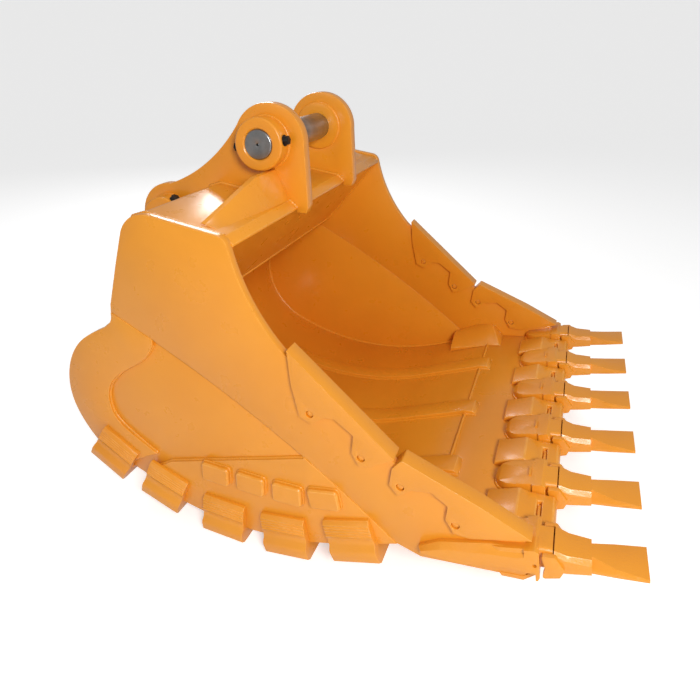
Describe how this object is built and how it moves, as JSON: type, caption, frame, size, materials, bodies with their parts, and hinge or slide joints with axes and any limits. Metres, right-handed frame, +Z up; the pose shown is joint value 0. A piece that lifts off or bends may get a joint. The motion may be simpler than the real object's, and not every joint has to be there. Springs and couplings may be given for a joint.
{
  "type": "excavator bucket",
  "caption": "Heavy rock bucket for a large excavator, with pin-on ears, side guards, heel shrouds and chisel teeth on adapters.",
  "frame": {"origin": "centre of the stick pin, midway between the two ears", "axes": "+X forward towards the teeth, +Y along the stick pin to the bucket's left, +Z up as the bucket stands on its heel shrouds"},
  "size_m": [2.0266, 1.6, 1.5205],
  "materials": {
    "yellow_paint": "gloss",
    "bare_steel": "turned",
    "black_hardware": "satin"
  },
  "bodies": {
    "bucket": {"adapter_2": "yellow_paint", "adapter_3": "yellow_paint", "adapter_4": "yellow_paint", "adapter_5": "yellow_paint", "corner_adapter_left": "yellow_paint", "corner_adapter_right": "yellow_paint", "corner_gusset_left": "yellow_paint", "corner_gusset_right": "yellow_paint", "ear_plate_left": "yellow_paint", "ear_plate_right": "yellow_paint", "floor_wear_strips": "yellow_paint", "front_wear_plate_left": "yellow_paint", "front_wear_plate_right": "yellow_paint", "heel_shrouds_left": "yellow_paint", "heel_shrouds_right": "yellow_paint", "heel_wear_plate_left": "yellow_paint", "heel_wear_plate_right": "yellow_paint", "link_pin_boss_left": "yellow_paint", "link_pin_boss_right": "yellow_paint", "lip_plate": "yellow_paint", "lip_shroud_1": "yellow_paint", "lip_shroud_2": "yellow_paint", "lip_shroud_3": "yellow_paint", "lip_shroud_4": "yellow_paint", "lip_shroud_5": "yellow_paint", "lip_shroud_locks": "yellow_paint", "lower_side_plate_left": "yellow_paint", "lower_side_plate_right": "yellow_paint", "lower_sidebar_guard_left": "yellow_paint", "lower_sidebar_guard_right": "yellow_paint", "pin_lock_screws": "black_hardware", "shell": "yellow_paint", "sidebar_guard_pins": "yellow_paint", "stick_pin_boss_left": "yellow_paint", "stick_pin_boss_right": "yellow_paint", "tooth_1": "yellow_paint", "tooth_2": "yellow_paint", "tooth_3": "yellow_paint", "tooth_4": "yellow_paint", "tooth_5": "yellow_paint", "tooth_6": "yellow_paint", "top_plate": "yellow_paint", "torque_box_back_plate": "yellow_paint", "torque_box_front_plate": "yellow_paint", "upper_side_plate_left": "yellow_paint", "upper_side_plate_right": "yellow_paint", "upper_sidebar_guard_left": "yellow_paint", "upper_sidebar_guard_right": "yellow_paint", "wear_blocks_left": "yellow_paint", "wear_blocks_right": "yellow_paint", "wing_gusset_left": "yellow_paint", "wing_gusset_right": "yellow_paint"},
    "stick_pin": {"stick_pin": "bare_steel"},
    "link_pin": {"link_pin": "bare_steel"}
  },
  "joints": [
    {"name": "stick_pin_draw", "type": "slide", "parent": "bucket", "child": "stick_pin", "axis": [0, -1, 0], "range_m": [0, 0.68]},
    {"name": "link_pin_draw", "type": "slide", "parent": "bucket", "child": "link_pin", "axis": [0, -1, 0], "range_m": [0, 0.68]}
  ]
}
